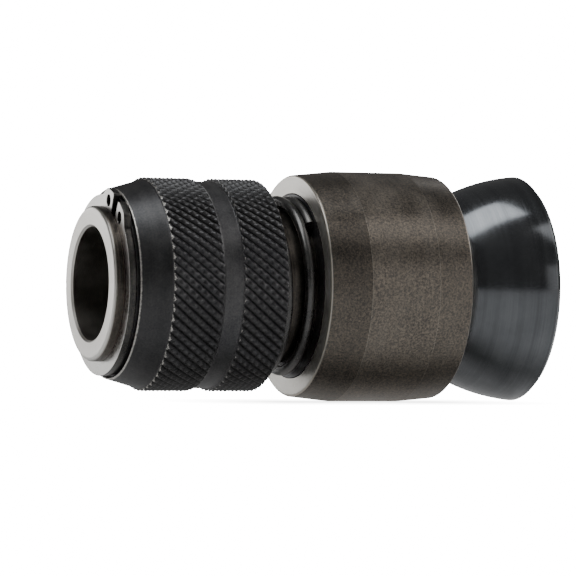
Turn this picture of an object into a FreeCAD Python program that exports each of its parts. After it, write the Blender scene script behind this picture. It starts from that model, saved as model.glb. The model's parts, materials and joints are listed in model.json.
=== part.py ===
import FreeCAD, Part
import math
import os

from FreeCAD import Rotation, Vector

# Quick-change drill chuck with a pull-back knurled sleeve, in millimetres.
# The tool axis is X. The nose points to -X and the rear mounting face is the plane X = 0.
# Most places are given as a distance behind the nose face, which at() turns into X.

# ---- driving dimensions -------------------------------------------------------------------
LENGTH = 78.0                # nose face to rear mounting face
BORE_R = 9.525               # 19.05 mm tool bore
BORE_CHAMFER = 0.35
BORE_GROOVE = (11.2, 12.1)   # relief in the bore, just ahead of the locking balls
BORE_GROOVE_R = 10.1
NOSE_R = 13.0                # outside of the nose, on which the sleeve slides
SLEEVE_R = 18.0              # over the knurled bands
COLLAR_R = 19.6              # middle of the collar
SLIDE_GAP = 0.06             # radial running clearance of the sleeve on the nose
TRAVEL = 6.0                 # rearward stroke of the sleeve
BALL_R = 3.0
BALL_AT = 15.5               # plane of the locking balls
BALL_BITE = 1.2              # how far a locked ball stands into the bore
BALL_COUNT = 3
BALL_SEAT_R = 2.7            # small end of each ball hole, which the ball can't pass
CAM_SLOPE = 0.208            # radial ball movement per millimetre of sleeve travel
SPINDLE_R = 7.25             # tapping bore of the 5/8 inch spindle thread
SPINDLE_DEPTH = 16.0

# ---- front end: retaining ring, washer, sleeve --------------------------------------------
NOSE_ROUND = 0.7
RING_FRONT = 1.8             # front face of the retaining ring
RING_THICK = 1.2
RING_SEAT_R = 12.45          # bottom of its groove
RING_OUTER_R = 15.2
RING_OFFSET = 0.25           # the ring is wider opposite its gap
RING_GAP_ANGLE = 118.7       # direction of the gap, from +Y towards +Z
RING_GAP_HALF = 4.6          # half of the gap, in degrees
LUG_R = 16.35                # outside of the lugs
LUG_HOLE_AT_R = 14.4
LUG_HOLE_R = 1.0
LUG_HOLE_ANGLE = 12.4        # from the middle of the gap to each plier hole
LUG_EDGE_ANGLE = 17.0        # from the middle of the gap to the far side of each lug
LUG_ROUND = 0.45
WASHER_FRONT = 3.05
WASHER_THICK = 1.0
WASHER_R = 15.2
LIP_AT = 3.4                 # front face of the sleeve
LIP_IN_R = 15.45
LIP_OUT_R = 16.0
CONE_END = 8.5
CONE_END_R = 17.45
BAND_1 = (9.1, 17.05)        # front knurled band
WAIST_R = 17.4
WAIST = (17.9, 20.7)         # plain groove between the bands
BAND_2 = (21.2, 28.8)        # rear knurled band
FRONT_LAND = (4.1, 6.4)      # guide lands inside the sleeve
REAR_LAND = (18.8, 20.8)
SPRING_POCKET_R = 15.7
SLEEVE_REAR_CHAMFER = 0.3

# ---- return spring ------------------------------------------------------------------------
SEAT_RING_THICK = 2.0
SPRING_MEAN_R = 14.4
SPRING_WIRE_R = 0.85
SPRING_REAR = 35.95
SPRING_TAIL_ANGLE = 135.0    # where the rear end coil is cut off, from +Y towards +Z
SPRING_END_HALVES = 2        # closed half turns at each end
SPRING_ACTIVE_HALVES = 4

# ---- body, collar and hub -----------------------------------------------------------------
FLANGE = (37.0, 39.0)        # body flange that carries the spring washer
FLANGE_R = 15.6
BODY_REAR_R = 14.5
BODY_END = 61.0
NECK = 57.5                  # the lock nut thread runs from here to BODY_END
NECK_R = 13.9
WEB = (38.0, 44.0)           # wall that closes the tool bore
CAVITY_R = 10.0              # female thread behind the web, for the hub's spigot
SPIGOT_FRONT = 53.0
COLLAR_FRONT = 36.0
COLLAR_REAR = 61.7
COLLAR_TAPER_END = 43.1
COLLAR_TAPER_BACK = 55.4
COLLAR_FRONT_R = 18.85
COLLAR_REAR_R = 19.05
COLLAR_EDGE = 0.45
NUT_POCKET_R = 16.2
HUB_CROWN_R = 19.58          # largest radius of the crowned hub
HUB_CROWN_AT = 80.5
HUB_ARC_R = 34.0             # meridional radius of the crown
HUB_FRONT_R = 13.7
HUB_CHAMFER = 0.8

# ---- ejector ------------------------------------------------------------------------------
STEM_R = 3.0
HEAD = (23.5, 26.5)
HEAD_R = 8.6
STEM_END = 47.0
BUSH_R = 5.0
EJECTOR_MEAN_R = 5.6
EJECTOR_WIRE_R = 0.6
EJECTOR_ACTIVE_HALVES = 6
CLIP_AT = 44.15
CLIP_THICK = 0.9
CLIP_GROOVE_R = 2.3
CLIP_OUT_R = 5.6

# ---- small parts --------------------------------------------------------------------------
KEY = (45.5, 55.5, 4.0, 2.2)           # start, end, width, height of the collar key
KEY_SINK = 1.2                         # how deep the key sits in the body
SEAL = (41.0, 42.8)                    # O-ring groove under the collar
SEAL_GROOVE_R = 13.0
SPIGOT_SCREW_AT = 59.0
SPIGOT_SCREW_R = 1.5
GRUB_AT = 70.0
GRUB_R = 2.5
GRUB_LENGTH = 8.0
GRUB_ANGLES = (20.0, 290.0)            # round the hub, from +Y towards +Z
EASE = 0.03                            # face clearance between pieces that only touch
GROOVE_PLAY = 0.05                     # side play of a ring in its groove
FIT_GAP = 0.02                         # radial gap of a close fit

X_AXIS = Vector(1, 0, 0)


def at(distance):
    """X of a place given as its distance behind the nose face."""
    return distance - LENGTH


def polar(distance, radius, degrees):
    """A point at a distance behind the nose, a radius and an angle from +Y towards +Z."""
    a = math.radians(degrees)
    return Vector(at(distance), radius * math.cos(a), radius * math.sin(a))


def tube(start, end, outer, inner=0.0):
    """A plain round piece, or a ring if inner is given."""
    shape = Part.makeCylinder(outer, end - start, Vector(at(start), 0, 0), X_AXIS)
    if inner:
        bore = Part.makeCylinder(inner, end - start + 2, Vector(at(start) - 1, 0, 0), X_AXIS)
        shape = shape.cut(bore)
    return shape


def turned(points):
    """Solid of revolution about the axis. A point is (distance, radius).

    A point written (distance, radius, "arc") is the middle of an arc from the point
    before it to the point after it.
    """
    places = [Vector(at(p[0]), 0, p[1]) for p in points]
    edges = []
    i = 0
    while i < len(points):
        here = places[i]
        after = (i + 1) % len(points)
        if len(points[after]) == 3:
            end = places[(i + 2) % len(points)]
            edges.append(Part.Arc(here, places[after], end).toShape())
            i += 2
        else:
            edges.append(Part.LineSegment(here, places[after]).toShape())
            i += 1
    face = Part.Face(Part.Wire(edges))
    return face.revolve(Vector(0, 0, 0), X_AXIS, 360)


def corner(distance, radius, size, dx, dr):
    """Middle point of a rounded corner of that size, lying inside the corner given."""
    inset = size * (1 - math.sqrt(0.5))
    return (distance + dx * inset, radius + dr * inset, "arc")


def radial_hole(distance, degrees, radius, inner, outer):
    """Round cutter that points outwards from the axis."""
    base = polar(distance, inner, degrees)
    way = polar(distance, outer, degrees) - base
    return Part.makeCylinder(radius, way.Length, base, way)


def ball_angles():
    return [90 + 360 * i / BALL_COUNT for i in range(BALL_COUNT)]


def ball_centre_r():
    return BORE_R - BALL_BITE + BALL_R


def cam_r(distance):
    """Radius of the release cone inside the sleeve, which just clears the locked balls."""
    reach = (BALL_R + EASE) * math.hypot(1, CAM_SLOPE)
    return ball_centre_r() + reach + (BALL_AT - distance) * CAM_SLOPE


def save(name, shape):
    solids = shape.Solids
    whole = solids[0] if len(solids) == 1 else Part.makeCompound(solids)
    if not whole.isValid():
        raise RuntimeError(name + " is not valid")
    whole.exportStep("parts/" + name + ".step")
    box = whole.BoundBox
    row = (name, len(solids), whole.Volume, box.XMin, box.XMax)
    print("%-22s %d solid(s) %10.1f mm3  X %.2f..%.2f" % row)


def chuck_body():
    """Nose tube, spring flange and rear socket in one turned piece."""
    seal_start, seal_end = SEAL
    ring_front = RING_FRONT - GROOVE_PLAY
    ring_back = RING_FRONT + RING_THICK + GROOVE_PLAY
    outline = [
        (0, BORE_R + BORE_CHAMFER),
        (0, NOSE_R - NOSE_ROUND),
        corner(0, NOSE_R, NOSE_ROUND, 1, -1),
        (NOSE_ROUND, NOSE_R),
        (ring_front, NOSE_R),
        (ring_front, RING_SEAT_R),
        (ring_back, RING_SEAT_R),
        (ring_back, NOSE_R),
        (FLANGE[0], NOSE_R),
        (FLANGE[0], FLANGE_R),
        (FLANGE[1], FLANGE_R),
        (FLANGE[1], BODY_REAR_R),
        (seal_start, BODY_REAR_R),
        (seal_start, SEAL_GROOVE_R),
        (seal_end, SEAL_GROOVE_R),
        (seal_end, BODY_REAR_R),
        (NECK, BODY_REAR_R),
        (NECK, NECK_R),
        (BODY_END, NECK_R),
        (BODY_END, CAVITY_R),
        (WEB[1], CAVITY_R),
        (WEB[1], BUSH_R),
        (WEB[0], BUSH_R),
        (WEB[0], BORE_R),
        (BORE_GROOVE[1], BORE_R),
        (BORE_GROOVE[1], BORE_GROOVE_R),
        (BORE_GROOVE[0], BORE_GROOVE_R),
        (BORE_GROOVE[0], BORE_R),
        (BORE_CHAMFER, BORE_R),
    ]
    body = turned(outline)
    seat_at = ball_centre_r() - math.sqrt(BALL_R ** 2 - BALL_SEAT_R ** 2) - 2 * EASE
    for angle in ball_angles():
        body = body.cut(radial_hole(BALL_AT, angle, BALL_SEAT_R, BORE_R - 2, NOSE_R))
        body = body.cut(radial_hole(BALL_AT, angle, BALL_R + EASE, seat_at, NOSE_R + 2))
    key_start, key_end, key_width, _ = KEY
    slot = Part.makeBox(key_end - key_start, key_width, BODY_REAR_R)
    slot.translate(Vector(at(key_start), -key_width / 2, BODY_REAR_R - KEY_SINK))
    body = body.cut(slot)
    for angle in (0, 180):
        body = body.cut(radial_hole(SPIGOT_SCREW_AT, angle, SPIGOT_SCREW_R, CAVITY_R - 1, NECK_R + 1))
    return body


def retaining_ring():
    """External circlip: an eccentric ring with two lugs and plier holes either side of its gap."""
    front, back = RING_FRONT, RING_FRONT + RING_THICK
    wide_side = polar(0, RING_OFFSET, RING_GAP_ANGLE + 180) - polar(0, 0, 0)
    ring = Part.makeCylinder(RING_OUTER_R, RING_THICK, Vector(at(front), 0, 0) + wide_side, X_AXIS)
    for side in (-1, 1):
        corners = [
            (RING_SEAT_R + 0.4, RING_GAP_HALF - 2),
            (LUG_R, RING_GAP_HALF - 2),
            (LUG_R, LUG_EDGE_ANGLE),
            (RING_OUTER_R - 1.2, LUG_EDGE_ANGLE + 16),
            (RING_SEAT_R + 0.4, LUG_EDGE_ANGLE + 12),
        ]
        places = [polar(front, r, RING_GAP_ANGLE + side * a) for r, a in corners]
        lug = Part.Face(Part.makePolygon(places + places[:1])).extrude(Vector(RING_THICK, 0, 0))
        ring = ring.fuse(lug)
    ring = ring.cut(tube(front - 1, back + 1, RING_SEAT_R + FIT_GAP))
    gap_places = [polar(front - 1, 0.1, RING_GAP_ANGLE)]
    for side in (-1, 1):
        gap_places.append(polar(front - 1, LUG_R + 2, RING_GAP_ANGLE + side * RING_GAP_HALF))
    gap = Part.Face(Part.makePolygon(gap_places + gap_places[:1])).extrude(Vector(RING_THICK + 2, 0, 0))
    ring = ring.cut(gap)
    for side in (-1, 1):
        centre = polar(front - 1, LUG_HOLE_AT_R, RING_GAP_ANGLE + side * LUG_HOLE_ANGLE)
        ring = ring.cut(Part.makeCylinder(LUG_HOLE_R, RING_THICK + 2, centre, X_AXIS))
    corners = [e for e in ring.Edges if is_lug_corner(e)]
    return ring.makeFillet(LUG_ROUND, corners).removeSplitter()


def is_lug_corner(edge):
    """Whether an edge runs along the axis at the outside of a lug."""
    if len(edge.Vertexes) != 2:
        return False
    start, end = (v.Point for v in edge.Vertexes)
    radius = math.hypot(start.y, start.z)
    return abs(abs(end.x - start.x) - RING_THICK) < 0.01 and radius > RING_OUTER_R + 0.5


def locking_sleeve():
    """Knurled sleeve: two guide lands, the release cone and the spring pocket inside."""
    inner = NOSE_R + SLIDE_GAP
    cam_front = BALL_AT - TRAVEL - BALL_R * CAM_SLOPE
    rim = SLEEVE_REAR_CHAMFER
    return turned([
        (LIP_AT, LIP_IN_R),
        (LIP_AT, LIP_OUT_R - 0.1),
        (LIP_AT + 0.1, LIP_OUT_R),
        (CONE_END, CONE_END_R),
        (BAND_1[0], SLEEVE_R),
        (BAND_1[1], SLEEVE_R),
        (WAIST[0], WAIST_R),
        (WAIST[1], WAIST_R),
        (BAND_2[0], SLEEVE_R),
        (BAND_2[1] - rim, SLEEVE_R),
        (BAND_2[1], SLEEVE_R - rim),
        (BAND_2[1], SPRING_POCKET_R + rim),
        (BAND_2[1] - rim, SPRING_POCKET_R),
        (REAR_LAND[1], SPRING_POCKET_R),
        (REAR_LAND[1], inner),
        (REAR_LAND[0], inner),
        (REAR_LAND[0], cam_r(REAR_LAND[0])),
        (cam_front, cam_r(cam_front)),
        (FRONT_LAND[1], cam_r(cam_front)),
        (FRONT_LAND[1], inner),
        (FRONT_LAND[0], inner),
        (FRONT_LAND[0], LIP_IN_R),
    ])


def coil(rear, front, mean_r, wire_r, tail_angle, end_halves, active_halves):
    """Compression spring with closed, ground ends, from its rear plane to its front plane.

    Each half turn is half a torus, tilted so that its ends meet its neighbours squarely.
    """
    ground_off = 0.35 * wire_r
    closed_rise = wire_r + 0.01
    length = rear - front - 2 * (wire_r - ground_off)
    open_rise = (length - 2 * end_halves * closed_rise) / active_halves
    rises = [closed_rise] * end_halves + [open_rise] * active_halves + [closed_rise] * end_halves
    place = rear - wire_r + ground_off
    halves = []
    for i, rise in enumerate(rises):
        start = polar(place, mean_r, tail_angle - 180 * i)
        end = polar(place - rise, mean_r, tail_angle - 180 * (i + 1))
        ahead = polar(place, 1, tail_angle - 180 * i - 90) - polar(place, 0, 0)
        section = Part.Face(Part.Wire(Part.Circle(start, ahead, wire_r).toShape()))
        turning = ahead.cross(end - start)
        halves.append(section.revolve((start + end) / 2, turning, 180))
        place -= rise
    wire = halves[0].multiFuse(halves[1:])
    return wire.common(tube(front, rear, mean_r + 2 * wire_r))


def return_spring():
    front = REAR_LAND[1] + SEAT_RING_THICK + EASE
    return coil(SPRING_REAR, front, SPRING_MEAN_R, SPRING_WIRE_R,
                SPRING_TAIL_ANGLE, SPRING_END_HALVES, SPRING_ACTIVE_HALVES)


def ejector_spring():
    return coil(WEB[0] - EASE, HEAD[1] + EASE, EJECTOR_MEAN_R, EJECTOR_WIRE_R,
                0, SPRING_END_HALVES, EJECTOR_ACTIVE_HALVES)


def collar_shell():
    """Tapered front, plain middle and tapered rear, bored for the body."""
    key_start, key_end, key_width, key_height = KEY
    inner = BODY_REAR_R + FIT_GAP
    edge = COLLAR_EDGE
    shell = turned([
        (COLLAR_FRONT, SPRING_POCKET_R),
        (COLLAR_FRONT, COLLAR_FRONT_R - edge),
        corner(COLLAR_FRONT, COLLAR_FRONT_R, edge, 1, -1),
        (COLLAR_FRONT + edge, COLLAR_FRONT_R),
        (COLLAR_TAPER_END, COLLAR_R),
        (COLLAR_TAPER_BACK, COLLAR_R),
        (COLLAR_REAR - edge, COLLAR_REAR_R),
        corner(COLLAR_REAR, COLLAR_REAR_R, edge, -1, -1),
        (COLLAR_REAR, COLLAR_REAR_R - edge),
        (COLLAR_REAR, NUT_POCKET_R),
        (NECK + 0.2, NUT_POCKET_R),
        (NECK + 0.2, inner),
        (FLANGE[1], inner),
        (FLANGE[1], SPRING_POCKET_R),
    ])
    slot = Part.makeBox(NECK + 1 - key_start, key_width + 2 * EASE, BODY_REAR_R)
    top = BODY_REAR_R - KEY_SINK + key_height + EASE
    slot.translate(Vector(at(key_start), -key_width / 2 - EASE, top - BODY_REAR_R))
    return shell.cut(slot)


def collar_key():
    """Round-ended parallel key between the body and the collar."""
    start, end, width, height = KEY
    base = BODY_REAR_R - KEY_SINK
    half = width / 2
    length = end - start - width
    bar = Part.makeBox(length, width, height, Vector(at(start + half), -half, base))
    for x in (start + half, end - half):
        bar = bar.fuse(Part.makeCylinder(half, height, Vector(at(x), 0, base)))
    return bar.removeSplitter()


def collar_lock_nut():
    """Ring nut with four spanner slots, on the body's rear thread."""
    start, end = NECK + 0.2 + EASE, BODY_END - 0.2
    nut = tube(start, end, NUT_POCKET_R - 0.1, NECK_R + FIT_GAP)
    slot_width, slot_depth = 3.0, 1.2
    for i in range(4):
        slot = Part.makeBox(slot_depth + 1, slot_width, 4)
        slot.translate(Vector(at(end) - slot_depth, -slot_width / 2, NUT_POCKET_R - 1.3))
        slot.rotate(Vector(0, 0, 0), X_AXIS, 45 + 90 * i)
        nut = nut.cut(slot)
    return nut


def rear_hub():
    """Crowned hub with a spigot that screws into the body and a socket for the spindle."""
    def crown_r(distance):
        return HUB_CROWN_R - HUB_ARC_R + math.sqrt(HUB_ARC_R ** 2 - (HUB_CROWN_AT - distance) ** 2)

    dome_front = BODY_END + 0.4
    dome_back = LENGTH - HUB_CHAMFER
    dome_middle = (dome_front + dome_back) / 2
    socket_front = LENGTH - SPINDLE_DEPTH
    drill_point = SPINDLE_R * math.tan(math.radians(31))
    spigot_r = CAVITY_R - FIT_GAP
    spigot_chamfer = 0.5
    hub = turned([
        (SPIGOT_FRONT, 0),
        (SPIGOT_FRONT, spigot_r - spigot_chamfer),
        (SPIGOT_FRONT + spigot_chamfer, spigot_r),
        (BODY_END, spigot_r),
        (BODY_END, HUB_FRONT_R),
        (dome_front, crown_r(dome_front)),
        (dome_middle, crown_r(dome_middle), "arc"),
        (dome_back, crown_r(dome_back)),
        (LENGTH, crown_r(dome_back) - HUB_CHAMFER),
        (LENGTH, SPINDLE_R),
        (socket_front, SPINDLE_R),
        (socket_front - drill_point, 0),
    ])
    for angle in (0, 180):
        hub = hub.cut(radial_hole(SPIGOT_SCREW_AT, angle, SPIGOT_SCREW_R, CAVITY_R - 2.0, CAVITY_R + 1))
    for angle in GRUB_ANGLES:
        hub = hub.cut(radial_hole(GRUB_AT, angle, GRUB_R, SPINDLE_R - 1, HUB_CROWN_R + 1))
    return hub


def hex_socket(distance, degrees, across_flats, outer, depth):
    """Hexagonal cutter for the key socket in the end of a radial screw."""
    radius = across_flats / math.sqrt(3)
    points = []
    for i in range(7):
        a = math.radians(60 * i)
        points.append(Vector(radius * math.cos(a), radius * math.sin(a), 0))
    cutter = Part.Face(Part.makePolygon(points)).extrude(Vector(0, 0, depth + 1))
    out = polar(distance, 1, degrees) - polar(distance, 0, degrees)
    base = polar(distance, outer - depth, degrees)
    cutter.Placement = FreeCAD.Placement(base, Rotation(Vector(0, 0, 1), out))
    return cutter


def radial_screws(distance, angles, radius, inner, outer, across_flats):
    """Headless screws pointing at the axis, one solid for each angle."""
    screws = []
    for angle in angles:
        screw = radial_hole(distance, angle, radius - FIT_GAP, inner, outer)
        screws.append(screw.cut(hex_socket(distance, angle, across_flats, outer, across_flats)))
    return Part.makeCompound(screws)


def ejector_plunger():
    """Pusher head and its stem, grooved for the clip."""
    edge = 0.5
    return turned([
        (HEAD[0], 0),
        (HEAD[0], HEAD_R - edge),
        (HEAD[0] + edge, HEAD_R),
        (HEAD[1], HEAD_R),
        (HEAD[1], STEM_R),
        (CLIP_AT - 0.03, STEM_R),
        (CLIP_AT - 0.03, CLIP_GROOVE_R),
        (CLIP_AT + CLIP_THICK + 0.03, CLIP_GROOVE_R),
        (CLIP_AT + CLIP_THICK + 0.03, STEM_R),
        (STEM_END - edge, STEM_R),
        (STEM_END, STEM_R - edge),
        (STEM_END, 0),
    ])


def plunger_clip():
    """E-clip: a ring with a slot wide enough to push over the groove."""
    clip = tube(CLIP_AT, CLIP_AT + CLIP_THICK, CLIP_OUT_R, CLIP_GROOVE_R + FIT_GAP)
    mouth = Part.makeBox(CLIP_THICK + 2, 2 * CLIP_GROOVE_R - 0.5, CLIP_OUT_R + 1)
    mouth.translate(Vector(at(CLIP_AT) - 1, -CLIP_GROOVE_R + 0.25, -CLIP_OUT_R - 1))
    return clip.cut(mouth)


def collar_seal():
    """O-ring pressed into its groove, flattened where it meets the collar."""
    start, end = SEAL[0] + 0.05, SEAL[1] - 0.05
    return turned([
        (start, SEAL_GROOVE_R + 0.4),
        (start + 0.4, SEAL_GROOVE_R + 0.02),
        (end - 0.4, SEAL_GROOVE_R + 0.02),
        (end, SEAL_GROOVE_R + 0.4),
        (end, BODY_REAR_R - 0.4),
        (end - 0.4, BODY_REAR_R),
        (start + 0.4, BODY_REAR_R),
        (start, BODY_REAR_R - 0.4),
    ])


def main():
    os.makedirs("parts", exist_ok=True)
    save("chuck_body", chuck_body())
    save("retaining_ring", retaining_ring())
    save("stop_washer", tube(WASHER_FRONT, WASHER_FRONT + WASHER_THICK, WASHER_R, NOSE_R + 0.03))
    save("locking_sleeve", locking_sleeve())
    for number, angle in enumerate(ball_angles(), 1):
        save("locking_ball_%d" % number, Part.makeSphere(BALL_R, polar(BALL_AT, ball_centre_r(), angle)))
    seat = REAR_LAND[1] + EASE / 2
    save("spring_seat_ring", tube(seat, seat + SEAT_RING_THICK, SPRING_POCKET_R - 0.1, NOSE_R + SLIDE_GAP))
    save("return_spring", return_spring())
    save("spring_washer", tube(SPRING_REAR + EASE, FLANGE[0] - EASE, FLANGE_R, NOSE_R + 0.03))
    save("collar_shell", collar_shell())
    save("collar_key", collar_key())
    save("collar_seal", collar_seal())
    save("collar_lock_nut", collar_lock_nut())
    save("rear_hub", rear_hub())
    save("spigot_lock_screws", radial_screws(SPIGOT_SCREW_AT, (0, 180), SPIGOT_SCREW_R,
                                             CAVITY_R - 1.9, NECK_R - 0.1, 1.5))
    save("hub_grub_screws", radial_screws(GRUB_AT, GRUB_ANGLES, GRUB_R, SPINDLE_R + 0.4,
                                          SPINDLE_R + 0.4 + GRUB_LENGTH, 2.5))
    save("ejector_plunger", ejector_plunger())
    save("ejector_spring", ejector_spring())
    save("plunger_guide_bush", tube(WEB[0], WEB[1], BUSH_R, STEM_R + 0.03))
    save("plunger_clip", plunger_clip())


main()
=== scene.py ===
import json
import math

import bpy
import numpy as np
from mathutils import Matrix, Vector


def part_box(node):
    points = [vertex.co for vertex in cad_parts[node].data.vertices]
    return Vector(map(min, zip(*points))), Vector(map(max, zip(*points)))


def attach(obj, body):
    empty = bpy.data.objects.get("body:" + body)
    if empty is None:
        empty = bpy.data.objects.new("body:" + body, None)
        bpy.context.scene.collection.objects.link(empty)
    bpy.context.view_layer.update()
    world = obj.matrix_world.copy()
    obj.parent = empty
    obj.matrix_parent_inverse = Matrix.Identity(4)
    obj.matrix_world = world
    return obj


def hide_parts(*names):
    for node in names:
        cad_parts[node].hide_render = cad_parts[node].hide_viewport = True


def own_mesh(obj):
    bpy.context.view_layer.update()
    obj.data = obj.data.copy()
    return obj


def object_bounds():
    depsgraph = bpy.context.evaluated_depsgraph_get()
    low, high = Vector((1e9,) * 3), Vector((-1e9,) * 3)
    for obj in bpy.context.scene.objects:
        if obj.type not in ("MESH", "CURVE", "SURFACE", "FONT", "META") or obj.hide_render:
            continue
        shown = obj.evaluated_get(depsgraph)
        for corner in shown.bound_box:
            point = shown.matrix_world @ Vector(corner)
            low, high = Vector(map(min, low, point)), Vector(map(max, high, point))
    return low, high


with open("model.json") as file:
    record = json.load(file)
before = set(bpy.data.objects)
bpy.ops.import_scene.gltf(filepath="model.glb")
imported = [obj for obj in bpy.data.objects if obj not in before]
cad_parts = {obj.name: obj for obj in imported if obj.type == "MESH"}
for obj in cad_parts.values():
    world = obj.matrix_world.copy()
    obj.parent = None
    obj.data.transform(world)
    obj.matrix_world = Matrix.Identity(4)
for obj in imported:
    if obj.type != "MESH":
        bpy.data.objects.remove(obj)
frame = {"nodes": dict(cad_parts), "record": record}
cad_low, cad_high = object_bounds()

# Lengths are in millimetres unless a name or comment says otherwise, and angles in degrees.
# A place is a distance behind the nose face. Angles round the axis run from +Y towards +Z.
MM = 0.001
LENGTH = (cad_high.x - cad_low.x) / MM


def span(node_name):
    """The front and rear places of a CAD node."""
    low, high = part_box(node_name)
    return low.x / MM + LENGTH, high.x / MM + LENGTH


# ---- sleeve ------------------------------------------------------------------------------
SLEEVE_R = 18.0
LIP_AT, LIP_OUT_R, LIP_IN_R = 3.4, 16.0, 15.45
CONE_END = 8.5
BAND_1 = (9.1, 17.05)          # front knurled band
WAIST = (17.75, 20.85)
WAIST_R = 17.45
BAND_2 = (21.2, 28.8)          # rear knurled band
REAR_CHAMFER = 0.25
FRONT_LAND, REAR_LAND = (4.1, 6.4), (18.8, 20.8)       # bores that slide on the nose
LAND_R = 13.06
RELEASE_R = (13.74, 15.797)    # ends of the cone that lets the balls out
RELEASE_SLOPE = 0.2074
SPRING_POCKET_R, POCKET_MOUTH = 15.7, 0.3
KNURL_COUNT = 64               # grooves of each hand round the sleeve
KNURL_PITCH = 2.1              # along the axis
KNURL_DEPTH = 0.46
KNURL_FLAT = 0.05              # share of each diamond that is a worn flat
KNURL_CROSS = 0.62             # depth of the crossing grooves against the main ones
KNURL_STEPS = 8                # mesh steps across one diamond
KNURL_RUN_OUT = 0.7            # how far the grooves can reach past a band
LEAST_ROW_GAP = 0.012
# place, width and strength of the bare metal on each edge
SLEEVE_EDGES = ((LIP_AT + 0.08, 0.45, 1.0), (BAND_1[0] - 0.25, 0.55, 1.0),
                (BAND_1[1] + 0.05, 0.30, 1.0), (BAND_2[0] - 0.05, 0.25, 1.0),
                (BAND_2[1] - 0.18, 0.30, 1.0))

# ---- retaining ring ----------------------------------------------------------------------
RING_FRONT, RING_REAR = span("retaining_ring")
RING_INNER_R, RING_OUTER_R = 12.47, 15.2
RING_OFFSET = 0.25             # the ring is wider opposite its gap
RING_GAP_ANGLE, RING_GAP_HALF = 118.7, 4.6
RING_BEVEL = 0.09
FILLET_SHARE = 0.8             # share of a side that a fillet may take
LUG_R, LUG_ROUND, LUG_EDGE_ANGLE = 16.35, 0.45, 17.0
LUG_TAPER_R, LUG_TAPER_ANGLE = 14.0, 33.0
LUG_HOLE_R, LUG_HOLE_AT_R, LUG_HOLE_ANGLE = 1.0, 14.4, 12.4

# ---- springs -----------------------------------------------------------------------------
RETURN_MEAN_R, RETURN_WIRE_R, RETURN_TAIL_ANGLE, RETURN_ACTIVE_HALVES = 14.4, 0.85, 135.0, 4
EJECTOR_MEAN_R, EJECTOR_WIRE_R, EJECTOR_TAIL_ANGLE, EJECTOR_ACTIVE_HALVES = 5.6, 0.6, 0.0, 6
END_HALVES = 2                 # closed half turns at each end
GROUND_SHARE = 0.35            # share of the wire's radius that is ground off each end
WIRE_GAP = 0.01                # between half turns of a closed end

# ---- collar and hub ----------------------------------------------------------------------
COLLAR_FRONT, COLLAR_REAR = span("collar_shell")
COLLAR_TAPER_END, COLLAR_TAPER_BACK = 43.1, 55.4
COLLAR_FRONT_R, COLLAR_R, COLLAR_REAR_R = 18.85, 19.6, 19.05
COLLAR_EDGE = 0.45
COLLAR_BORE = (39.0, 57.7)
COLLAR_BORE_R, COLLAR_MOUTH_R, NUT_POCKET_R = 14.52, 15.7, 16.2
COLLAR_EDGES = ((COLLAR_FRONT + 0.1, 0.12, 1.0), (COLLAR_TAPER_END, 0.10, 0.78),
                (COLLAR_TAPER_BACK, 0.10, 0.78), (COLLAR_REAR - 0.1, 0.12, 1.0))
HUB_FRONT, HUB_REAR = span("rear_hub")
SPIGOT_R, SPIGOT_END, SPIGOT_CHAMFER = 9.98, 61.0, 0.5
CROWN = (61.4, 77.2)           # front and rear of the hub's crowned side
CROWN_ARC_R, CROWN_MOST_R, CROWN_MOST_AT = 34.0, 19.58, 80.5
HUB_FRONT_R, HUB_CHAMFER = 13.7, 0.8
FACE_RELIEF = (9.6, 13.95)     # shallow ring turned into the rear face, inner and outer radius
FACE_RELIEF_DEPTH = 0.25
THREAD_PITCH, THREAD_DEPTH = 1.5875, 0.62      # 5/8-16 spindle thread
THREAD_FLAT = 0.12             # share of the pitch that is flat at the crest and at the root
THREAD_FADE = 1.2              # length over which the thread runs out at the socket's bottom
SPINDLE_R, SPINDLE_DEPTH = 7.25, 16.0
SPINDLE_MOUTH_R = 8.2
DRILL_TIP_R, DRILL_TIP_DEPTH = 0.4, 4.1        # cone that the tapping drill leaves
GRUB_AT, GRUB_R, GRUB_ANGLES = 70.0, 2.5, (20.0, 290.0)
GRUB_MOUTH_R, GRUB_MOUTH = 3.35, (18.35, 19.2)  # countersink, from and to these radii of the hub

# ---- turned meshes and their rounded corners ---------------------------------------------
TURNED_COLUMNS = 256           # mesh steps round the collar and the hub
RUN_SHARE = 0.45               # share of a straight run that a rounded corner may take
LEAST_ROUND = 0.004
HOLD, HOLD_SHARE = 0.06, 0.6   # from a rounded corner to its holding point, at most


# ---- mesh building -----------------------------------------------------------------------
def unit(vector):
    return vector / np.linalg.norm(vector)


def turn_angles(count):
    return np.arange(count) * 2 * math.pi / count


def spin_points(places, radii, angles):
    """Points for every (place, radius) pair at every angle; radii may vary with the angle."""
    radii = np.asarray(radii, float)
    if radii.ndim == 1:
        radii = np.repeat(radii[:, None], len(angles), axis=1)
    points = np.empty(radii.shape + (3,))
    points[..., 0] = (np.asarray(places, float)[:, None] - LENGTH) * MM
    points[..., 1] = radii * np.cos(angles) * MM
    points[..., 2] = radii * np.sin(angles) * MM
    return points


def make_mesh(name, points, faces, smooth_angle=32.0, wear_and_groove_shade=None):
    """A new object; edge wear and painted groove shade are kept on its points for the material to read."""
    mesh = bpy.data.meshes.new(name)
    mesh.from_pydata(points.reshape(-1, 3).tolist(), [], faces)
    mesh.validate()
    mesh.update()
    if wear_and_groove_shade is not None:
        layer = mesh.attributes.new("wear_and_groove_shade", "FLOAT", "POINT")
        layer.data.foreach_set("value", np.asarray(wear_and_groove_shade, np.float32).ravel())
    mesh.shade_smooth()
    mesh.set_sharp_from_angle(angle=math.radians(smooth_angle))
    piece = bpy.data.objects.new(name, mesh)
    bpy.context.scene.collection.objects.link(piece)
    return piece


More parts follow.
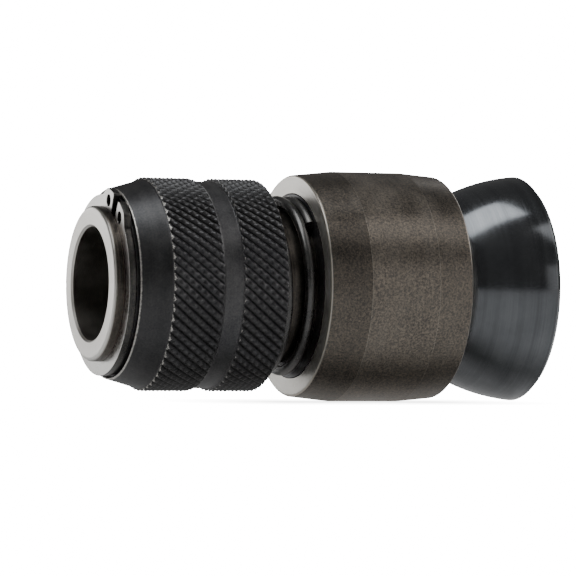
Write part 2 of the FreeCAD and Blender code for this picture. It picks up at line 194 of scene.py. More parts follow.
def grid_faces(rows, columns, closed_rows=True, flip=None):
    """Faces of a grid that closes round the axis. flip says which quads split the other way."""
    faces = []
    for i in range(rows if closed_rows else rows - 1):
        k = (i + 1) % rows
        for j in range(columns):
            n = (j + 1) % columns
            a, b, c, d = i * columns + j, k * columns + j, k * columns + n, i * columns + n
            if flip is None:
                faces.append((a, b, c, d))
            elif flip[i, j]:
                faces += [(a, b, d), (b, c, d)]
            else:
                faces += [(a, b, c), (a, c, d)]
    return faces


def end_caps(rows, columns):
    """Faces that close the first and last rows of an open grid."""
    last = (rows - 1) * columns
    return [tuple(range(columns)), tuple(range(last, last + columns))[::-1]]


def capped_faces(rows, columns):
    return grid_faces(rows, columns, closed_rows=False) + end_caps(rows, columns)


def rounded(outline, steps=4):
    """Rounds the corners of a closed outline of (place, radius[, rounding]) points.

    Each rounded corner also gets a holding point on either side, so that the flat or round
    face next to it keeps its true shading.
    """
    result = []
    for i, entry in enumerate(outline):
        here = np.array(entry[:2], float)
        before = np.array(outline[i - 1][:2], float) - here
        after = np.array(outline[(i + 1) % len(outline)][:2], float) - here
        room = RUN_SHARE * min(np.linalg.norm(before), np.linalg.norm(after))
        size = min(entry[2], room) if len(entry) > 2 else 0.0
        if size < LEAST_ROUND:
            result.append(tuple(here))
            continue
        before, after = unit(before), unit(after)
        turn = math.acos(float(np.clip(np.dot(before, after), -1, 1)))
        cut = min(size / math.tan(turn / 2), room)
        size = cut * math.tan(turn / 2)
        centre = here + unit(before + after) * size / math.sin(turn / 2)
        start, end = here + before * cut, here + after * cut
        sweep = math.pi - turn
        hold = min(HOLD, HOLD_SHARE * room)
        result.append(tuple(start + before * hold))
        for t in np.linspace(0, 1, steps + 1):
            spoke = (start - centre) * math.sin((1 - t) * sweep) + (end - centre) * math.sin(t * sweep)
            result.append(tuple(centre + spoke / math.sin(sweep)))
        result.append(tuple(end + after * hold))
    return result


def edge_wear(place, edges):
    """Bare metal near turned edges, from 0 to 1."""
    return max(most * math.exp(-((place - at) / width) ** 2) for at, width, most in edges)


# ---- knurled sleeve ----------------------------------------------------------------------
def knurl_phases(place, turns, band_start):
    """How many grooves of each hand lie before a point."""
    shift = (place - band_start) / KNURL_PITCH
    return turns * KNURL_COUNT + shift, turns * KNURL_COUNT - shift


def groove_depth(place, turns, band_start):
    """0 on the diamonds' flats and 1 at the bottom of the main grooves."""
    u, v = knurl_phases(place, turns, band_start)
    away_u = np.abs(u - np.floor(u) - 0.5) * 2
    away_v = np.abs(v - np.floor(v) - 0.5) * 2
    depth = np.maximum(KNURL_CROSS * away_u, away_v)
    return np.clip((depth - KNURL_FLAT) / (1 - KNURL_FLAT), 0, 1)


def ridge_flips(place, turns, band_start):
    """Which quads of a row are split along the crossing grooves."""
    middle = place + KNURL_PITCH / KNURL_STEPS / 2
    u, v = knurl_phases(middle, turns + 0.5 / len(turns), band_start)
    return np.abs(u - np.round(u)) < np.abs(v - np.round(v))


def sleeve_rows():
    """Places of the mesh rows on the outside of the sleeve, and the turned radius there."""
    envelope = rounded([
        (LIP_AT, LIP_IN_R - 0.15), (LIP_AT, LIP_OUT_R, 0.2), (CONE_END, WAIST_R, 0.05),
        (BAND_1[0], SLEEVE_R, 0.03), (BAND_1[1], SLEEVE_R, 0.03),
        (WAIST[0], WAIST_R, 0.08), (WAIST[1], WAIST_R, 0.08),
        (BAND_2[0], SLEEVE_R, 0.03), (BAND_2[1] - REAR_CHAMFER, SLEEVE_R, 0.05),
        (BAND_2[1], SLEEVE_R - REAR_CHAMFER, 0.06), (BAND_2[1], SPRING_POCKET_R + 0.2),
    ])[1:-1]
    places, radii = zip(*envelope)
    step = KNURL_PITCH / KNURL_STEPS
    added = []
    for start, end in (BAND_1, BAND_2):
        added += list(np.arange(start + step, end - 0.4 * step, step))
    run_outs = ((CONE_END + 0.05, BAND_1[0], 6), (BAND_1[1] + 0.05, WAIST[0] - 0.05, 6),
                (WAIST[1] + 0.05, BAND_2[0], 5), (BAND_2[1] - 0.24, BAND_2[1] - 0.02, 4))
    for start, end, count in run_outs + ((LIP_AT + 0.5, CONE_END - 0.3, 10),):
        added += list(np.linspace(start, end, count))
    rows = envelope + [(place, float(np.interp(place, places, radii))) for place in added]
    front = [row for row in rows if row[0] < LIP_AT + 0.01]
    back = [row for row in rows if row[0] > BAND_2[1] - 0.01]
    middle = sorted(row for row in rows if LIP_AT + 0.01 <= row[0] <= BAND_2[1] - 0.01)
    thinned = middle[:1]
    for row in middle[1:]:
        if row[0] - thinned[-1][0] > LEAST_ROW_GAP:
            thinned.append(row)
    return front + thinned + back


def sleeve_bore():
    """The inside of the sleeve from its rear to its lip."""
    release_front = REAR_LAND[0] - (RELEASE_R[1] - RELEASE_R[0]) / RELEASE_SLOPE
    return rounded([
        (BAND_2[1], SPRING_POCKET_R + POCKET_MOUTH - 0.01),
        (BAND_2[1] - POCKET_MOUTH, SPRING_POCKET_R, 0.05),
        (REAR_LAND[1], SPRING_POCKET_R, 0.05), (REAR_LAND[1], LAND_R, 0.1), (REAR_LAND[0], LAND_R, 0.1),
        (REAR_LAND[0], RELEASE_R[0]), (release_front, RELEASE_R[1]),
        (FRONT_LAND[1], RELEASE_R[1], 0.05), (FRONT_LAND[1], LAND_R, 0.1),
        (FRONT_LAND[0], LAND_R, 0.1), (FRONT_LAND[0], LIP_IN_R), (LIP_AT, LIP_IN_R, 0.05),
    ])


def knurled_sleeve():
    """The sleeve; its points carry 1 on worn bare edges down to -1 in groove bottoms, painted shade."""
    columns = KNURL_COUNT * KNURL_STEPS
    outside = sleeve_rows()
    places, radii = zip(*(outside + sleeve_bore()))
    turns = np.arange(columns) / columns
    field = np.repeat(np.array(radii)[:, None], columns, axis=1)
    wear_and_groove_shade = np.zeros_like(field)
    flip = np.zeros(field.shape, bool)
    for i in range(len(outside)):
        place = places[i]
        start, end = BAND_1 if place < sum(WAIST) / 2 else BAND_2
        if start - KNURL_RUN_OUT < place < end + KNURL_RUN_OUT:
            depth = groove_depth(place, turns, start)
            cut = SLEEVE_R - KNURL_DEPTH * depth
            field[i] = np.minimum(field[i], cut)
            uncut = radii[i] <= cut + 0.02
            # Groove depth is stored as a negative value, for painted shade in the grooves; uncut points
            # keep their edge wear.
            wear_and_groove_shade[i] = np.where(uncut, edge_wear(place, SLEEVE_EDGES), -depth)
        elif place < BAND_1[0]:
            wear_and_groove_shade[i] = edge_wear(place, SLEEVE_EDGES)
        flip[i] = ridge_flips(place, turns, start)
    points = spin_points(places, field, turn_angles(columns))
    faces = grid_faces(len(places), columns, flip=flip)
    return make_mesh("sleeve_knurled", points, faces, smooth_angle=28.0, wear_and_groove_shade=wear_and_groove_shade)


# ---- springs -----------------------------------------------------------------------------
def coil(name, front, rear, mean_r, wire_r, tail_angle, active_halves, steps_per_turn, sides):
    """Round-wire spring with closed half turns and a ground face at each end.

    Its pitch changes gently, over a third of a turn.
    """
    ground_off = GROUND_SHARE * wire_r
    closed = [wire_r + WIRE_GAP] * END_HALVES
    length = rear - front - 2 * (wire_r - ground_off)
    rise = (length - 2 * sum(closed)) / active_halves
    heights = np.concatenate([[0], np.cumsum(closed + [rise] * active_halves + closed)])
    halves = len(heights) - 1
    count = halves * steps_per_turn // 2
    t = np.linspace(0, halves, count + 1)
    knots = np.interp(t, np.arange(halves + 1), heights)
    width = steps_per_turn // 6
    window = np.hanning(2 * width + 1)
    padded = np.concatenate([2 * knots[0] - knots[width:0:-1], knots,
                             2 * knots[-1] - knots[-2:-width - 2:-1]])
    place = rear - wire_r + ground_off - np.convolve(padded, window / window.sum(), "valid")
    angle = math.radians(tail_angle) - math.pi * t
    out = np.stack([np.zeros_like(angle), np.cos(angle), np.sin(angle)], 1)
    centre = out * mean_r
    centre[:, 0] = place - LENGTH
    ahead = np.gradient(centre, axis=0)
    ahead /= np.linalg.norm(ahead, axis=1)[:, None]
    side = np.cross(ahead, out)
    across = turn_angles(sides)[None, :, None]
    wire = centre[:, None] + wire_r * (np.cos(across) * out[:, None] + np.sin(across) * side[:, None])
    wire[..., 0] = np.clip(wire[..., 0], front - LENGTH, rear - LENGTH)
    return make_mesh(name, wire * MM, capped_faces(count + 1, sides), smooth_angle=40.0)


# ---- retaining ring ----------------------------------------------------------------------
def polar(radius, degrees):
    angle = math.radians(degrees)
    return radius * np.array([math.cos(angle), math.sin(angle)])


def ring_radius(degrees):
    """Outside of the eccentric ring, or of the taper from a lug into it where that is larger."""
    angle = math.radians(degrees)
    round_r = math.sqrt(RING_OUTER_R ** 2 - (RING_OFFSET * math.sin(angle)) ** 2)
    round_r -= RING_OFFSET * math.cos(angle)
    if degrees > LUG_TAPER_ANGLE:
        return round_r
    start, end = polar(LUG_R, LUG_EDGE_ANGLE), polar(LUG_TAPER_R, LUG_TAPER_ANGLE)
    normal = np.array([end[1] - start[1], start[0] - end[0]])
    return max(round_r, float(np.dot(start, normal) / np.dot(polar(1, degrees), normal)))


def ring_outline():
    """Corners (point, fillet) of the ring seen along the axis, with its gap at angle 0.

    Points on the arcs keep a few degrees clear of the filleted corners.
    """
    half = [(polar(RING_INNER_R, RING_GAP_HALF), 0.15), (polar(LUG_R, RING_GAP_HALF), LUG_ROUND)]
    half += [(polar(LUG_R, a), 0) for a in np.linspace(RING_GAP_HALF + 2, LUG_EDGE_ANGLE - 2, 8)]
    half += [(polar(LUG_R, LUG_EDGE_ANGLE), LUG_ROUND)]
    half += [(polar(ring_radius(a), a), 0) for a in np.linspace(LUG_EDGE_ANGLE + 2.5, 180, 72)]
    mirror = [(point * np.array([1, -1]), size) for point, size in half[-2::-1]]
    clear = RING_GAP_HALF + 3
    inside = [(polar(RING_INNER_R, a), 0) for a in np.linspace(-clear, clear - 360, 90)]
    return half + mirror + inside


def fillet_polygon(corners, steps=5):
    """Replaces each corner that has a fillet with a short curve."""
    result = []
    for i, (here, size) in enumerate(corners):
        before = corners[i - 1][0] - here
        after = corners[(i + 1) % len(corners)][0] - here
        size = min(size, FILLET_SHARE * np.linalg.norm(before), FILLET_SHARE * np.linalg.norm(after))
        if not size:
            result.append(here)
            continue
        for t in np.linspace(0, 1, steps + 1):
            result.append(here + unit(before) * size * (1 - t) ** 2 + unit(after) * size * t ** 2)
    return result


def retaining_ring():
    """The circlip: a bevelled flat curve with two plier holes, stood across the axis."""
    thickness = RING_REAR - RING_FRONT
    curve = bpy.data.curves.new("ring_outline", "CURVE")
    curve.dimensions = "2D"
    curve.fill_mode = "BOTH"
    curve.extrude = (thickness / 2 - RING_BEVEL) * MM
    curve.bevel_depth = RING_BEVEL * MM
    curve.bevel_resolution = 3
    curve.offset = -RING_BEVEL * MM
    loops = [fillet_polygon(ring_outline())]
    for side in (-1, 1):
        middle = polar(LUG_HOLE_AT_R, side * LUG_HOLE_ANGLE)
        turn = turn_angles(40)
        loops.append(middle + LUG_HOLE_R * np.stack([np.cos(turn), np.sin(turn)], 1))
    for loop in loops:
        spline = curve.splines.new("POLY")
        spline.points.add(len(loop) - 1)
        for spline_point, (across, up) in zip(spline.points, loop):
            spline_point.co = (across * MM, up * MM, 0, 1)
        spline.use_cyclic_u = True
    holder = bpy.data.objects.new("ring_outline", curve)
    bpy.context.scene.collection.objects.link(holder)
    bpy.context.view_layer.update()
    mesh = bpy.data.meshes.new_from_object(holder)
    bpy.data.objects.remove(holder)
    gap = math.radians(RING_GAP_ANGLE)
    mesh.transform(Matrix(((0, 0, 1, (RING_FRONT + thickness / 2 - LENGTH) * MM),
                           (math.cos(gap), -math.sin(gap), 0, 0),
                           (math.sin(gap), math.cos(gap), 0, 0),
                           (0, 0, 0, 1))))
    mesh.name = "circlip"
    mesh.shade_smooth()
    mesh.set_sharp_from_angle(angle=math.radians(35))
    piece = bpy.data.objects.new("circlip", mesh)
    bpy.context.scene.collection.objects.link(piece)
    return piece


# ---- collar ------------------------------------------------------------------------------
def collar():
    outline = rounded([
        (COLLAR_FRONT, COLLAR_MOUTH_R, 0.12), (COLLAR_FRONT, COLLAR_FRONT_R, COLLAR_EDGE),
        (COLLAR_TAPER_END, COLLAR_R, 0.15), (COLLAR_TAPER_BACK, COLLAR_R, 0.15),
        (COLLAR_REAR, COLLAR_REAR_R, COLLAR_EDGE), (COLLAR_REAR, NUT_POCKET_R, 0.12),
        (COLLAR_BORE[1], NUT_POCKET_R), (COLLAR_BORE[1], COLLAR_BORE_R, 0.1),
        (COLLAR_BORE[0], COLLAR_BORE_R, 0.1), (COLLAR_BORE[0], COLLAR_MOUTH_R),
    ], steps=5)
    places, radii = zip(*outline)
    points = spin_points(places, radii, turn_angles(TURNED_COLUMNS))
    wear_and_groove_shade = np.repeat([[edge_wear(place, COLLAR_EDGES)] for place in places], TURNED_COLUMNS, axis=1)
    return make_mesh("collar_turned", points, grid_faces(len(places), TURNED_COLUMNS), wear_and_groove_shade=wear_and_groove_shade)


# ---- hub ---------------------------------------------------------------------------------
def threaded_socket_rows():
    """(place, radii) rows of the spindle socket, from its mouth to its bottom."""
    turns = np.arange(TURNED_COLUMNS) / TURNED_COLUMNS
    bottom = HUB_REAR - SPINDLE_DEPTH
    rows = []
    for place in np.linspace(HUB_REAR - 0.9, bottom + 0.6, 150):
        phase = (HUB_REAR - place) / THREAD_PITCH - turns
        tooth = 1 - np.abs((phase - np.floor(phase)) * 2 - 1)
        tooth = np.clip((tooth - THREAD_FLAT) / (1 - 2 * THREAD_FLAT), 0, 1)
        fade = min(1, (place - bottom - 0.5) / THREAD_FADE)
        mouth_r = SPINDLE_MOUTH_R + 0.15 - (HUB_REAR - place)
        rows.append((place, np.maximum(SPINDLE_R + THREAD_DEPTH * tooth * fade, mouth_r)))
    return rows


def crown_radius(place):
    """The hub's side is an arc whose widest place lies just behind the hub."""
    rise = math.sqrt(CROWN_ARC_R ** 2 - (CROWN_MOST_AT - place) ** 2)
    return CROWN_MOST_R - CROWN_ARC_R + rise


def hub_outside():
    """(place, radius) points from the front of the spigot to the mouth of the socket."""
    spigot = rounded([
        (HUB_FRONT, 9.0), (HUB_FRONT, SPIGOT_R - SPIGOT_CHAMFER), (HUB_FRONT + SPIGOT_CHAMFER, SPIGOT_R),
        (SPIGOT_END, SPIGOT_R, 0.05), (SPIGOT_END, HUB_FRONT_R, 0.1),
    ])[1:-1]
    crown = [(place, crown_radius(place)) for place in np.linspace(*CROWN, 37)]
    edge_r, relief_at = crown[-1][1], HUB_REAR - FACE_RELIEF_DEPTH
    back = rounded([
        (HUB_REAR - 1.0, 19.4), (CROWN[1], edge_r, 0.12), (HUB_REAR, edge_r - HUB_CHAMFER, 0.1),
        (HUB_REAR, FACE_RELIEF[1] + FACE_RELIEF_DEPTH, 0.06), (relief_at, FACE_RELIEF[1], 0.06),
        (relief_at, FACE_RELIEF[0], 0.06), (HUB_REAR, FACE_RELIEF[0] - FACE_RELIEF_DEPTH, 0.06),
        (HUB_REAR, SPINDLE_MOUTH_R, 0.05), (HUB_REAR - 0.5, SPINDLE_MOUTH_R - 0.3),
    ])[1:-1]
    return spigot + crown[:-1] + back


def rear_hub():
    """The crowned hub, its spigot and its threaded spindle socket, in one skin."""
    bottom = HUB_REAR - SPINDLE_DEPTH
    rows = [(HUB_FRONT, DRILL_TIP_R)] + hub_outside() + threaded_socket_rows()
    rows += [(bottom, SPINDLE_R - 0.05), (bottom - 0.1, SPINDLE_R - 0.15),
             (bottom - DRILL_TIP_DEPTH, DRILL_TIP_R)]
    radii = np.array([np.broadcast_to(radius, TURNED_COLUMNS) for place, radius in rows])
    points = spin_points([place for place, radius in rows], radii, turn_angles(TURNED_COLUMNS))
    faces = [face[::-1] for face in grid_faces(len(rows), TURNED_COLUMNS, closed_rows=False)]
    faces += end_caps(len(rows), TURNED_COLUMNS)
    hub = make_mesh("hub_crowned", points, faces, smooth_angle=30.0)
    for angle in GRUB_ANGLES:
        cut_grub_hole(hub, angle)
    return hub


def cut_grub_hole(hub, degrees):
    """A round hole with a small countersink, square to the axis."""
    profile = [(SPINDLE_R - 0.65, GRUB_R), (GRUB_MOUTH[0], GRUB_R),
               (GRUB_MOUTH[1], GRUB_MOUTH_R), (CROWN_MOST_R + 1, GRUB_MOUTH_R)]
    out, side = Vector((0, *polar(1, degrees))), Vector((0, *polar(1, degrees + 90)))
    steps = 48
    points = []
    for height, radius in profile:
        for t in turn_angles(steps):
            spot = out * height + side * radius * math.cos(t)
            spot.x = GRUB_AT - LENGTH + radius * math.sin(t)
            points.append(spot * MM)
    cutter = make_mesh("grub_cutter", np.array(points), capped_faces(len(profile), steps))
    change = hub.modifiers.new("hole", "BOOLEAN")
    change.operation = "DIFFERENCE"
    change.solver = "EXACT"
    change.object = cutter
    bpy.context.view_layer.update()
    graph = bpy.context.evaluated_depsgraph_get()
    cut = bpy.data.meshes.new_from_object(hub.evaluated_get(graph))
    hub.modifiers.clear()
    hub.data = cut
    cut.set_sharp_from_angle(angle=math.radians(30))
    bpy.data.objects.remove(cutter)


# ---- shader nodes ------------------------------------------------------------------------
def put(tree, kind, inputs=None, output=0, **settings):
    """Adds a node, sets or links its inputs, and returns one of its outputs, if it has any."""
    node = tree.nodes.new(kind)
    for key, value in settings.items():
        setattr(node, key, value)
    for key, value in (inputs or {}).items():
        if isinstance(value, bpy.types.NodeSocket):
            tree.links.new(value, node.inputs[key])
        else:
            node.inputs[key].default_value = value
    return None if output is None else node.outputs[output]


def ramp(tree, value, low, high, to_low, to_high):
    return put(tree, "ShaderNodeMapRange", {
        "Value": value, "From Min": low, "From Max": high, "To Min": to_low, "To Max": to_high})


def blend_colour(tree, factor, first, second):
    node = tree.nodes.new("ShaderNodeMix")
    node.data_type = "RGBA"
    tree.links.new(factor, node.inputs["Factor"])
    sockets = [s for s in node.inputs if s.type == "RGBA"]
    for socket, value in zip(sockets, (first, second)):
        if isinstance(value, bpy.types.NodeSocket):
            tree.links.new(value, socket)
        else:
            socket.default_value = (*value, 1)
    return [s for s in node.outputs if s.type == "RGBA"][0]


def calculate(tree, operation, first, second=0.0):
    return put(tree, "ShaderNodeMath", {0: first, 1: second}, operation=operation)


def noise(tree, vector, size_mm, detail=2.0, roughness=0.5):
    return put(tree, "ShaderNodeTexNoise", {
        "Vector": vector, "Scale": 1000 / size_mm, "Detail": detail, "Roughness": roughness})


def split(tree, vector):
    node = tree.nodes.new("ShaderNodeSeparateXYZ")
    tree.links.new(vector, node.inputs[0])
    return node.outputs


def length_of(tree, **parts):
    """Length of a vector that has only the given X, Y or Z parts."""
    vector = put(tree, "ShaderNodeCombineXYZ", {key.upper(): value for key, value in parts.items()})
    return put(tree, "ShaderNodeVectorMath", {0: vector}, output="Value", operation="LENGTH")


def scale_colour(tree, colour, factor):
    return put(tree, "ShaderNodeVectorMath", {0: colour, "Scale": factor}, operation="SCALE")


# ---- materials ---------------------------------------------------------------------------
LATHE_TURN_SCALE = 0.00015     # metres of pattern per radian: marks run almost all the way round
BANDS_TO_MARKS = 9             # how much wider the soft bands are than the fine lathe marks
GRAIN_MM, SPECK_MM = 0.22, 0.34
MOST_NOISE = (0.3, 0.7)        # most of a noise texture's values lie between these
MIDDLE_NOISE = (0.35, 0.65)    # and many between these
ZONE_EDGE = 0.08               # half of the width over which a painted shading zone's tone changes
GROOVE_SHADE = 0.22            # painted shade: tone at the bottom of a knurl groove against the outside
BORE_SHADE = (0.0096, 0.0099)  # radii in metres between which the bore's tone begins


def surface(name, dark, light, patch_mm, rough, metallic, marks_mm=0.16, marks_depth=0.004,
            grain_depth=0.0015, streaks=0.25, speckle=0.0, speckle_colour=(0.4, 0.38, 0.35),
            wear_colour=None, wear_from=0.7, face_reflection_colour=None, bore_colour=None, painted_shading_zones=()):
    """Turned metal: patches of tone, lathe marks round the axis, grain, specks and worn edges.

    The zones are (place, factor) pairs that change the tone behind a place, painted shading that
    makes whole turned slopes lighter or darker. The face colours are a dark and a light tone for
    faces square to the axis, a painted reflection of the bright backdrop. Knurl groove bottoms get
    painted shade from the mesh's point attribute, and its high values give worn edges.
    """
    material = bpy.data.materials.new(name)
    material.use_nodes = True
    tree = material.node_tree
    tree.nodes.clear()
    where = put(tree, "ShaderNodeTexCoord", output="Object")
    x, y, z = split(tree, where)
    radius = length_of(tree, y=y, z=z)
    turn = calculate(tree, "MULTIPLY", calculate(tree, "ARCTAN2", z, y), LATHE_TURN_SCALE)
    lathe = put(tree, "ShaderNodeCombineXYZ", {0: x, 1: radius, 2: turn})
    marks = noise(tree, lathe, marks_mm, 3.0, 0.6)
    bands = noise(tree, lathe, marks_mm * BANDS_TO_MARKS)
    patches = noise(tree, where, patch_mm, 5.0, 0.6)
    grain = noise(tree, where, GRAIN_MM, 3.0, 0.6)

    tone = ramp(tree, patches, *MOST_NOISE, 0.0, 1.0)
    tone = calculate(tree, "ADD", tone, ramp(tree, marks, *MOST_NOISE, -streaks, streaks))
    tone = calculate(tree, "ADD", tone, ramp(tree, bands, *MIDDLE_NOISE, -streaks, streaks))
    tone = put(tree, "ShaderNodeClamp", {0: tone})
    colour = blend_colour(tree, tone, dark, light)
    if speckle:
        specks = noise(tree, where, SPECK_MM, 4.0, 0.7)
        colour = blend_colour(tree, ramp(tree, specks, 0.40, 0.75, 0.0, speckle), colour, speckle_colour)
    # Painted shading: each zone scales the tone behind its place, lightening or darkening whole turned
    # slopes.
    for place, factor in painted_shading_zones:
        edge = (place - LENGTH) * MM
        colour = scale_colour(tree, colour, ramp(tree, x, edge - ZONE_EDGE * MM, edge + ZONE_EDGE * MM,
                                                 1.0, factor))
    if bore_colour:
        colour = blend_colour(tree, ramp(tree, radius, *BORE_SHADE, 1.0, 0.0), colour, bore_colour)
    # Painted reflection: faces square to the axis get a lighter colour, standing in for the bright
    # backdrop they reflect.
    if face_reflection_colour:
        facing = split(tree, put(tree, "ShaderNodeTexCoord", output="Normal"))[0]
        flat = ramp(tree, calculate(tree, "ABSOLUTE", facing), 0.35, 0.90, 0.0, 1.0)
        colour = blend_colour(tree, flat, colour, blend_colour(tree, tone, *face_reflection_colour))
    if wear_colour:
        wear_and_groove_shade = put(tree, "ShaderNodeAttribute", output="Fac", attribute_name="wear_and_groove_shade")
        # Painted shade: knurl groove bottoms darkened towards GROOVE_SHADE of their tone.
        colour = scale_colour(tree, colour, ramp(tree, wear_and_groove_shade, -1.0, -0.25, GROOVE_SHADE, 1.0))
        broken = calculate(tree, "ADD", wear_and_groove_shade, ramp(tree, grain, *MOST_NOISE, -0.12, 0.12))
        colour = blend_colour(tree, ramp(tree, broken, wear_from, 1.0, 0.0, 1.0), colour, wear_colour)
    roughness = calculate(tree, "ADD", ramp(tree, patches, *MIDDLE_NOISE, *rough),
                          ramp(tree, marks, *MOST_NOISE, -0.04, 0.04))
    bumps = put(tree, "ShaderNodeBump", {
        "Strength": 1.0, "Distance": marks_depth * MM, "Height": marks})
    bumps = put(tree, "ShaderNodeBump", {
        "Strength": 1.0, "Distance": grain_depth * MM, "Height": grain, "Normal": bumps})
    shader = put(tree, "ShaderNodeBsdfPrincipled", {
        "Metallic": metallic, "Base Color": colour, "Roughness": roughness, "Normal": bumps})
    put(tree, "ShaderNodeOutputMaterial", {"Surface": shader}, output=None)
    return material


MATERIALS = {
    "body_steel": surface(
        "nose_steel", (0.028, 0.025, 0.023), (0.075, 0.067, 0.059), patch_mm=4.0,
        rough=(0.30, 0.42), metallic=1.0, marks_mm=0.25, marks_depth=0.003, grain_depth=0.0012,
        streaks=0.5, speckle=0.18, speckle_colour=(0.27, 0.22, 0.17),
        # The face colours paint a reflection on faces square to the axis, such as the nose face.
        face_reflection_colour=((0.50, 0.475, 0.44), (0.62, 0.60, 0.565)), bore_colour=(0.23, 0.21, 0.19)),
    "spring_steel": surface(
        "ring_steel", (0.035, 0.035, 0.035), (0.075, 0.073, 0.07), patch_mm=5.0,
        rough=(0.26, 0.38), metallic=1.0, marks_mm=0.2, marks_depth=0.002, grain_depth=0.0012,
        streaks=0.1, speckle=0.2, speckle_colour=(0.32, 0.28, 0.23),
        # The face colours paint a reflection on the circlip's flat faces.
        face_reflection_colour=((0.46, 0.45, 0.43), (0.58, 0.565, 0.54))),
    "black_oxide": surface(
        "blackened_steel", (0.031, 0.031, 0.033), (0.058, 0.057, 0.058), patch_mm=6.0,
        rough=(0.36, 0.46), metallic=0.9, marks_mm=0.14, marks_depth=0.003, grain_depth=0.0015,
        streaks=0.15, speckle=0.2, speckle_colour=(0.17, 0.16, 0.15),
        wear_colour=(0.46, 0.44, 0.41), wear_from=0.86,
        # Painted shading: the front cone stays darkest, the knurled bands and the waist lighter.
        painted_shading_zones=((BAND_1[0], 1.4), (BAND_1[1] + 0.35, 1.15), (WAIST[1] + 0.25, 0.87))),
    "polished_steel": surface(
        "ball_steel", (0.62, 0.62, 0.63), (0.78, 0.78, 0.79), patch_mm=3.0,
        rough=(0.08, 0.14), metallic=1.0, marks_mm=0.3, marks_depth=0.0004, grain_depth=0.0003,
        streaks=0.05),
    "black_spring": surface(
        "spring_wire", (0.05, 0.05, 0.051), (0.11, 0.108, 0.105), patch_mm=3.0,
        rough=(0.26, 0.36), metallic=0.9, marks_mm=0.5, marks_depth=0.001, grain_depth=0.0015,
        streaks=0.1, speckle=0.3, speckle_colour=(0.22, 0.2, 0.18)),
    "browned_steel": surface(
        "browned_collar", (0.058, 0.053, 0.048), (0.096, 0.087, 0.077), patch_mm=7.0,
        rough=(0.30, 0.42), metallic=0.9, marks_mm=0.10, marks_depth=0.003, grain_depth=0.005,
        streaks=0.14, speckle=0.65, speckle_colour=(0.29, 0.24, 0.185),
        wear_colour=(0.50, 0.45, 0.38), wear_from=0.6,
        # The face colours paint a reflection on the collar's front and rear faces.
        face_reflection_colour=((0.46, 0.44, 0.40), (0.62, 0.60, 0.56)),
        # Painted shading: the front taper darkest, the rear taper a little darker than the middle.
        painted_shading_zones=((COLLAR_TAPER_END, 1.42), (COLLAR_TAPER_BACK, 0.9))),
    "gloss_black_steel": surface(
        "glossy_hub", (0.10, 0.104, 0.11), (0.145, 0.15, 0.157), patch_mm=12.0,
        rough=(0.14, 0.2), metallic=0.9, marks_mm=0.18, marks_depth=0.0035, grain_depth=0.0006,
        streaks=0.3),
    "seal_rubber": surface(
        "nitrile", (0.018, 0.018, 0.018), (0.03, 0.03, 0.03), patch_mm=2.0,
        rough=(0.5, 0.65), metallic=0.0, marks_mm=0.4, marks_depth=0.002, grain_depth=0.003,
        streaks=0.1),
    "bronze": surface(
        "sintered_bronze", (0.36, 0.22, 0.1), (0.58, 0.4, 0.2), patch_mm=2.0,
        rough=(0.35, 0.5), metallic=1.0, marks_mm=0.2, marks_depth=0.002, grain_depth=0.003,
        streaks=0.2),
}


# ---- pieces ------------------------------------------------------------------------------
def dress(piece, slot_name, body, node_name):
    """Gives a piece its finish and body, in place of the CAD node."""
    piece.data.materials.clear()
    piece.data.materials.append(MATERIALS[slot_name])
    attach(piece, body)
    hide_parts(node_name)


def sprung(piece, node_name):
    """Dresses a coil in spring wire on the chuck body, in place of its CAD node, with a mesh of its own.
    """
    dress(piece, "black_spring", "chuck", node_name)
    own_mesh(piece)


slots = {subpart["node"]: subpart["material_slot"] for subpart in frame["record"]["subparts"]}
for node_name, node in frame["nodes"].items():
    for material_slot in node.material_slots:
        material_slot.material = MATERIALS[slots[node_name]]

dress(knurled_sleeve(), "black_oxide", "sleeve", "locking_sleeve")
dress(retaining_ring(), "spring_steel", "chuck", "retaining_ring")
dress(collar(), "browned_steel", "chuck", "collar_shell")
dress(rear_hub(), "gloss_black_steel", "chuck", "rear_hub")

return_coil = coil("return_coil", *span("return_spring"), RETURN_MEAN_R, RETURN_WIRE_R,
                   RETURN_TAIL_ANGLE, RETURN_ACTIVE_HALVES, steps_per_turn=96, sides=28)
sprung(return_coil, "return_spring")
ejector_coil = coil("ejector_coil", *span("ejector_spring"), EJECTOR_MEAN_R, EJECTOR_WIRE_R,
                    EJECTOR_TAIL_ANGLE, EJECTOR_ACTIVE_HALVES, steps_per_turn=64, sides=20)
sprung(ejector_coil, "ejector_spring")


# ---- floor, lights, camera: metres -------------------------------------------------------
WHITE = 20.0                   # strength at which the view shows pure white
FLOOR_R = 6.0
SHADOW_REACH, SHADOW_WHITE = (0.001, 0.030), 3.0     # painted contact shadow: pale grey by the chuck, white further off
UNDERGLOW_REACH, UNDERGLOW = (0.006, 0.012), 0.4     # light under the chuck, by distance in Y
STUDIO_MIDDLE = Vector((-0.040, 0, 0))
CAMERA_AT = (-0.2980, -0.6422, -0.0032)
CAMERA_TURN, CAMERA_TILT, CAMERA_ROLL = 21.7053, 0.2366, 0.5942
CAMERA_LENS = 254.15           # millimetres, on a 36 mm sensor


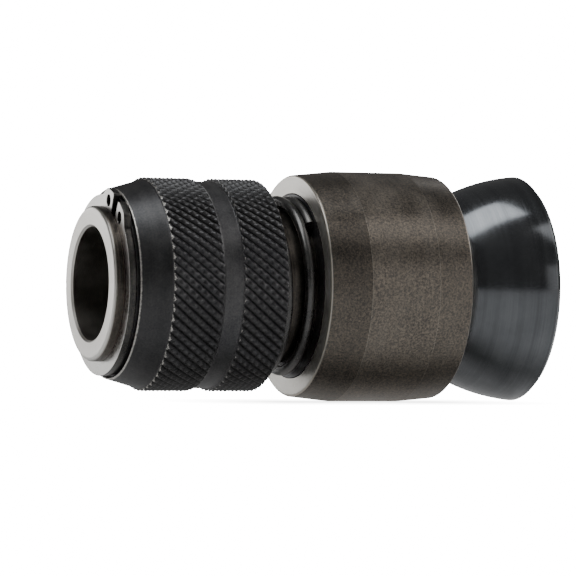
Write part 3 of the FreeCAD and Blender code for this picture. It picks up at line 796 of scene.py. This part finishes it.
def floor_glow(tree, where):
    """White to the camera, with a painted contact shadow greyer close to the chuck, and a little light
    under the chuck.
    """
    x, y, z = split(tree, where)
    collar_low, collar_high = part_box("collar_shell")
    middle, half = (collar_low.x + collar_high.x) / 2, (collar_high.x - collar_low.x) / 2
    past = calculate(tree, "ABSOLUTE", calculate(tree, "SUBTRACT", x, middle))
    past = calculate(tree, "MAXIMUM", calculate(tree, "SUBTRACT", past, half), 0.0)
    # Painted contact shadow: the glow seen by the camera drops near the collar, so the floor shows grey
    # there along with its lit shadow.
    shown = ramp(tree, length_of(tree, x=past, y=y), *SHADOW_REACH, SHADOW_WHITE, WHITE)
    direct = put(tree, "ShaderNodeLightPath", output="Is Camera Ray")
    underglow = ramp(tree, calculate(tree, "ABSOLUTE", y), *UNDERGLOW_REACH, UNDERGLOW, 0.0)
    return calculate(tree, "ADD", calculate(tree, "MULTIPLY", shown, direct), underglow)


def pale_floor():
    steps = 96
    ring = [(FLOOR_R * math.cos(t), FLOOR_R * math.sin(t), cad_low.z - 0.0001) for t in turn_angles(steps)]
    floor = make_mesh("floor", np.array(ring), [tuple(range(steps))])
    material = bpy.data.materials.new("pale_floor")
    material.use_nodes = True
    tree = material.node_tree
    shader = tree.nodes["Principled BSDF"]
    where = put(tree, "ShaderNodeTexCoord", output="Object")
    paper = ramp(tree, noise(tree, where, 2.5, 3.0), *MOST_NOISE, 0.0, 1.0)
    tree.links.new(blend_colour(tree, paper, (0.80,) * 3, (0.84,) * 3), shader.inputs["Base Color"])
    shader.inputs["Roughness"].default_value = 0.6
    shader.inputs["Emission Color"].default_value = (1, 1, 1, 1)
    tree.links.new(floor_glow(tree, where), shader.inputs["Emission Strength"])
    floor.data.materials.append(material)


def panel(name, way, distance, width, height, radiance, tint=(1, 1, 1)):
    """A soft rectangular light that faces the chuck and that the camera doesn't see."""
    lamp = bpy.data.lights.new(name, "AREA")
    lamp.shape = "RECTANGLE"
    lamp.size, lamp.size_y = width, height
    lamp.energy = radiance * math.pi * width * height
    lamp.color = tint
    holder = bpy.data.objects.new(name, lamp)
    way = Vector(way).normalized()
    holder.location = STUDIO_MIDDLE + way * distance
    holder.rotation_euler = way.to_track_quat("Z", "Y").to_euler()
    holder.visible_camera = False
    bpy.context.scene.collection.objects.link(holder)


def sky(seen, lighting):
    """A plain white world, seen at one strength and lighting the chuck at another."""
    world = bpy.data.worlds.new("studio")
    bpy.context.scene.world = world
    world.use_nodes = True
    tree = world.node_tree
    background = tree.nodes["Background"]
    direct = put(tree, "ShaderNodeLightPath", output="Is Camera Ray")
    tree.links.new(ramp(tree, direct, 0.0, 1.0, lighting, seen), background.inputs["Strength"])
    background.inputs["Color"].default_value = (1, 1, 1, 1)


def photo_camera():
    camera = bpy.data.objects.new("camera", bpy.data.cameras.new("camera"))
    bpy.context.scene.collection.objects.link(camera)
    camera.data.sensor_width = 36.0
    camera.data.lens = CAMERA_LENS
    camera.data.clip_start, camera.data.clip_end = 0.01, 50.0
    turn = Matrix.Rotation(-math.radians(CAMERA_TURN), 4, "Z")
    tilt = Matrix.Rotation(math.radians(90 + CAMERA_TILT), 4, "X")
    roll = Matrix.Rotation(math.radians(CAMERA_ROLL), 4, "Z")
    camera.matrix_world = Matrix.Translation(CAMERA_AT) @ turn @ tilt @ roll
    bpy.context.scene.camera = camera


pale_floor()
sky(seen=WHITE, lighting=0.10)
panel("light_behind_nose", (-0.45, 0.89, 0.10), 0.9, 0.8, 0.5, 2.2)
panel("light_above", (-0.34, -0.08, 0.93), 0.7, 0.34, 0.75, 4.6, (0.95, 0.98, 1.0))
panel("light_right", (0.83, -0.13, 0.50), 0.8, 0.40, 0.35, 4.5)
panel("light_back_right", (0.66, 0.55, 0.45), 0.8, 0.35, 0.30, 1.8)
panel("light_front", (0.45, -0.88, 0.12), 0.9, 0.5, 0.5, 0.75)
panel("light_high_front", (0.37, -0.48, 0.80), 0.9, 0.30, 0.30, 1.6)
panel("light_nose_side", (-0.9, -0.40, 0.15), 0.9, 0.4, 0.4, 0.8)
photo_camera()
